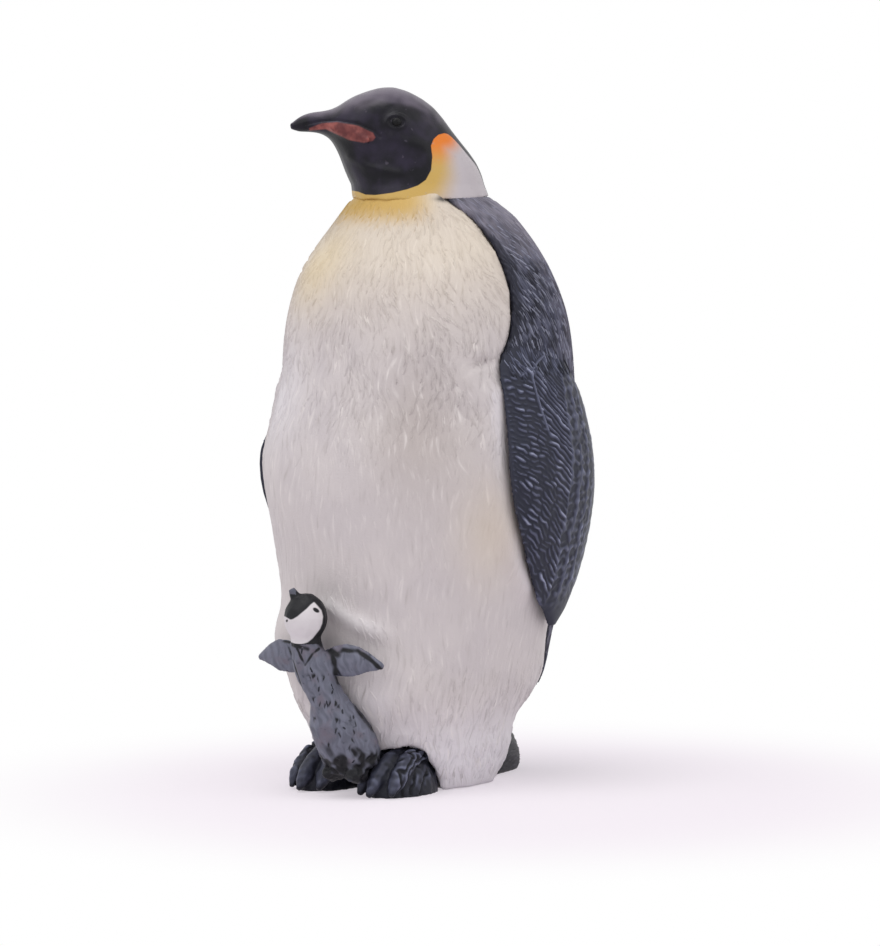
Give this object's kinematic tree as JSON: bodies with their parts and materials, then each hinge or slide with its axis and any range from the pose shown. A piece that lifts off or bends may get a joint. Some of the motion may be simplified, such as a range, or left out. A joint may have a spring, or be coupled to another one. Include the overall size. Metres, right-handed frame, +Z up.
{
  "type": "penguin figurine",
  "caption": "Standing penguin figurine with its head turned aside and a chick in front of its feet, a hand-painted ornament that rests on its skirt, feet and tail.",
  "frame": {"origin": "on the standing surface, under the middle of the figurine's outline", "axes": "+Z up, -Y the way the adult's breast faces, +X the adult's left"},
  "size_m": [0.0452, 0.0446, 0.09],
  "materials": {
    "belly_white": "off-white painted PVC with moulded feather strokes",
    "mantle_slate": "slate-black painted PVC, grey dry-brushed feather ridges",
    "hood_black": "satin black painted PVC with yellow ear patches",
    "flipper_slate": "slate-black painted PVC, moulded scale rows",
    "foot_black": "black painted PVC, grey on the ridges",
    "chick_grey": "slate-grey painted PVC with a black wash, white face"
  },
  "bodies": {
    "root": {"body": "belly_white", "back_mantle": "mantle_slate", "head": "hood_black", "left_flipper": "flipper_slate", "right_flipper": "flipper_slate", "left_foot": "foot_black", "right_foot": "foot_black", "tail": "mantle_slate", "chick": "chick_grey"}
  },
  "joints": []
}
